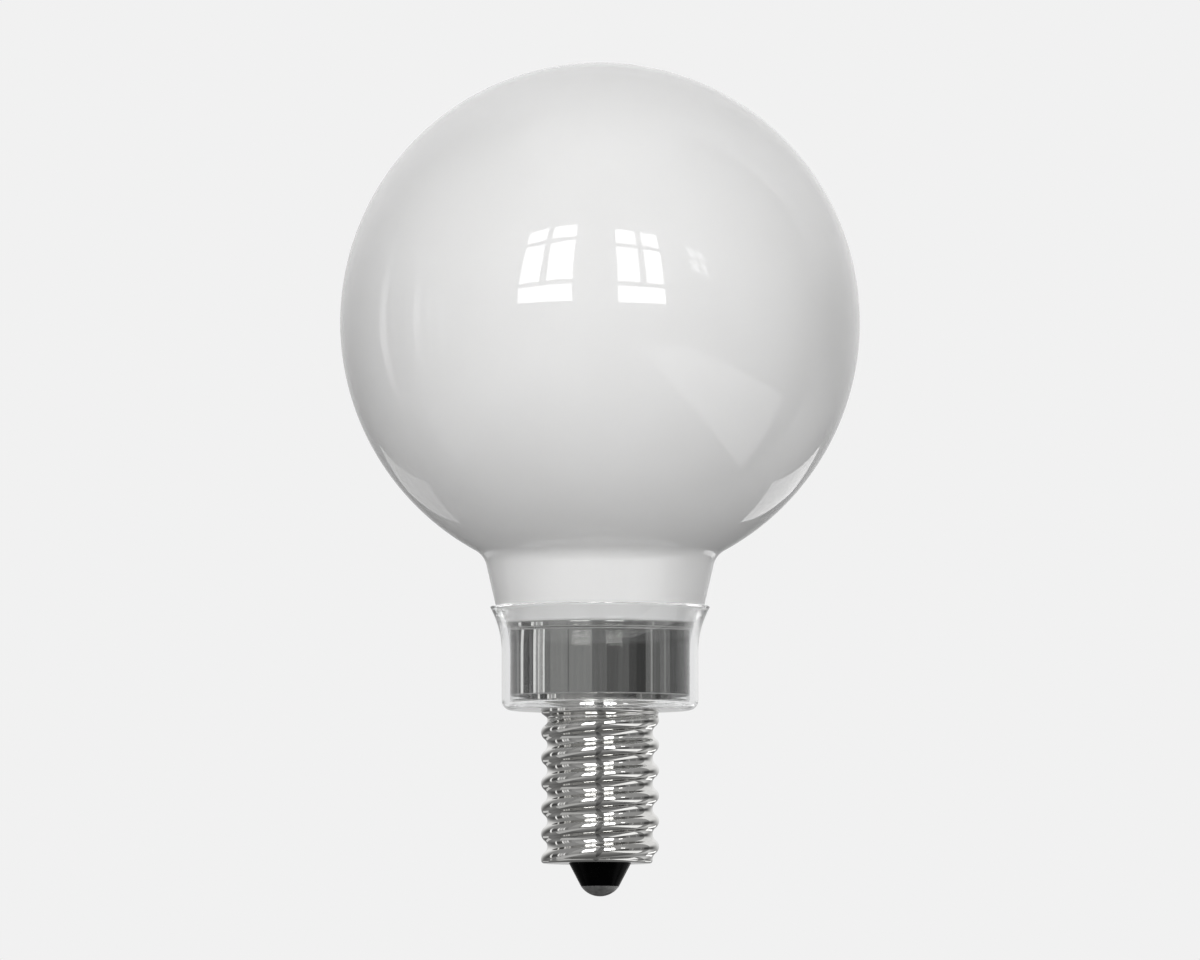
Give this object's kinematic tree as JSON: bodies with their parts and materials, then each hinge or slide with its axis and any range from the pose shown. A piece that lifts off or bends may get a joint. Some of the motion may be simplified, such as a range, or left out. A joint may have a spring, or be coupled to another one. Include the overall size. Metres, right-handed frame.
{
  "type": "globe bulb",
  "caption": "Opal globe light bulb with a tapered neck, a clear flared cup collar round a polished metal sleeve, and a narrow screw base with a domed centre contact.",
  "frame": {"origin": "on the axis, in the plane of the collar's underside, where the screw base leaves the collar", "axes": "+Z along the axis from the screw base to the globe; at rest a thread crest faces -X just below the collar"},
  "size_m": [0.052, 0.052, 0.0834],
  "materials": {
    "opal_glass": "opal white, glossy",
    "clear_plastic": "clear, polished",
    "polished_sleeve": "polished",
    "plated_shell": "bright plated",
    "black_insulator": "black, glossy",
    "dull_contact": "dull solder grey"
  },
  "bodies": {
    "root": {"glass_globe": "opal_glass", "clear_collar": "clear_plastic", "metal_sleeve": "polished_sleeve", "screw_shell": "plated_shell", "base_insulator": "black_insulator", "centre_contact": "dull_contact"}
  },
  "joints": []
}
